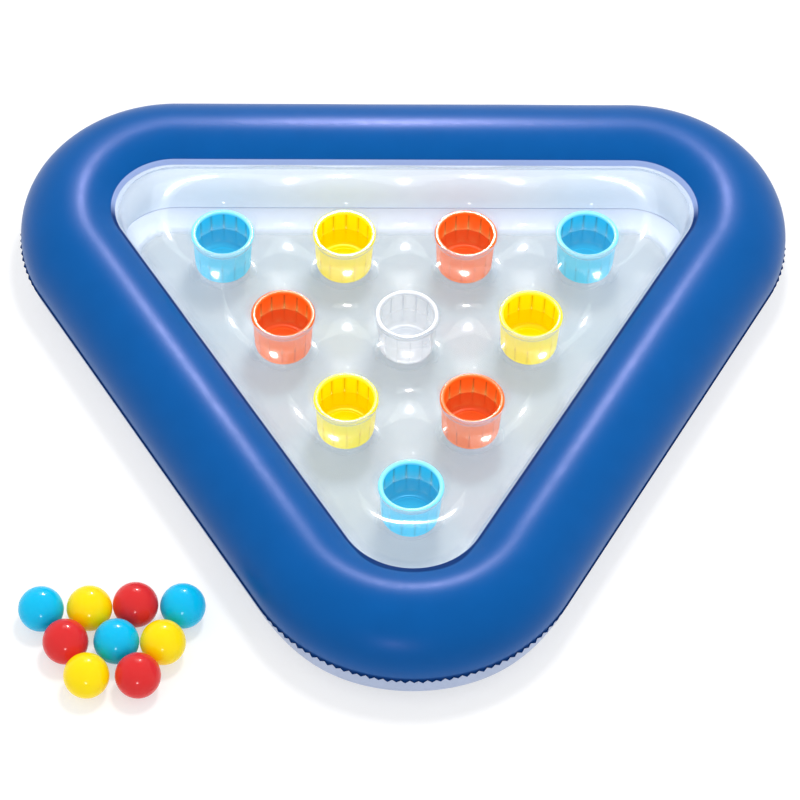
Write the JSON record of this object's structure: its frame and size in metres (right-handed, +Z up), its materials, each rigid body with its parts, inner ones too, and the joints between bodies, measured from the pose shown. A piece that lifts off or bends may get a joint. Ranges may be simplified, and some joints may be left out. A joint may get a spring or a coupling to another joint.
{
  "type": "inflatable pool ball toss float",
  "caption": "Rounded triangular pool float: a thick air ring round a clear quilted air mattress with a triangle of welded cups, and loose hollow balls to toss into them.",
  "frame": {"origin": "on the ground, under the middle of the float's bounding box", "axes": "+Z up; +X along the row of cups, to the right when the single cup's corner points to the viewer; +Y from that corner to the back row of cups"},
  "size_m": [1.1732, 1.0576, 0.1612],
  "materials": {
    "ring_blue": "glossy soft vinyl",
    "ring_white": "glossy soft vinyl",
    "wall_white": "glossy half clear vinyl",
    "film_clear": "glossy clear vinyl film",
    "cup_blue": "glossy soft vinyl",
    "cup_yellow": "glossy soft vinyl",
    "cup_orange": "glossy soft vinyl",
    "cup_clear": "glossy clear vinyl",
    "ball_blue": "glossy",
    "ball_yellow": "glossy",
    "ball_red": "glossy",
    "valve_clear": "glossy clear soft vinyl"
  },
  "bodies": {
    "float": {"ring_top_sheet": "ring_blue", "ring_bottom_sheet": "ring_white", "ring_inner_wall": "wall_white", "mattress_top_sheet": "film_clear", "mattress_bottom_sheet": "film_clear", "cup_11_blue": "cup_blue", "cup_12_yellow": "cup_yellow", "cup_13_orange": "cup_orange", "cup_14_blue": "cup_blue", "cup_21_orange": "cup_orange", "cup_22_clear": "cup_clear", "cup_23_yellow": "cup_yellow", "cup_31_yellow": "cup_yellow", "cup_32_orange": "cup_orange", "cup_41_blue": "cup_blue", "ring_valve_body": "valve_clear", "mattress_valve_body": "valve_clear"},
    "ring_stopper": {"ring_valve_stopper": "valve_clear"},
    "mattress_stopper": {"mattress_valve_stopper": "valve_clear"},
    "ball_1": {"ball_1_blue": "ball_blue"},
    "ball_2": {"ball_2_yellow": "ball_yellow"},
    "ball_3": {"ball_3_red": "ball_red"},
    "ball_4": {"ball_4_blue": "ball_blue"},
    "ball_5": {"ball_5_red": "ball_red"},
    "ball_6": {"ball_6_blue": "ball_blue"},
    "ball_7": {"ball_7_yellow": "ball_yellow"},
    "ball_8": {"ball_8_yellow": "ball_yellow"},
    "ball_9": {"ball_9_red": "ball_red"}
  },
  "joints": [
    {"name": "ring_stopper_hinge", "type": "hinge", "parent": "float", "child": "ring_stopper", "pos_m": [0.1884, 0.52601, 0.08021], "axis": [0, 0, -1], "range_deg": [0, 140]},
    {"name": "mattress_stopper_hinge", "type": "hinge", "parent": "float", "child": "mattress_stopper", "pos_m": [0.0084, -0.33, 0.02591], "axis": [0, -1, 0], "range_deg": [0, 140]},
    {"name": "ball_1_lift", "type": "slide", "parent": "float", "child": "ball_1", "axis": [0, 0, 1], "range_m": [0, 0.3]},
    {"name": "ball_2_lift", "type": "slide", "parent": "float", "child": "ball_2", "axis": [0, 0, 1], "range_m": [0, 0.3]},
    {"name": "ball_3_lift", "type": "slide", "parent": "float", "child": "ball_3", "axis": [0, 0, 1], "range_m": [0, 0.3]},
    {"name": "ball_4_lift", "type": "slide", "parent": "float", "child": "ball_4", "axis": [0, 0, 1], "range_m": [0, 0.3]},
    {"name": "ball_5_lift", "type": "slide", "parent": "float", "child": "ball_5", "axis": [0, 0, 1], "range_m": [0, 0.3]},
    {"name": "ball_6_lift", "type": "slide", "parent": "float", "child": "ball_6", "axis": [0, 0, 1], "range_m": [0, 0.3]},
    {"name": "ball_7_lift", "type": "slide", "parent": "float", "child": "ball_7", "axis": [0, 0, 1], "range_m": [0, 0.3]},
    {"name": "ball_8_lift", "type": "slide", "parent": "float", "child": "ball_8", "axis": [0, 0, 1], "range_m": [0, 0.3]},
    {"name": "ball_9_lift", "type": "slide", "parent": "float", "child": "ball_9", "axis": [0, 0, 1], "range_m": [0, 0.3]}
  ]
}
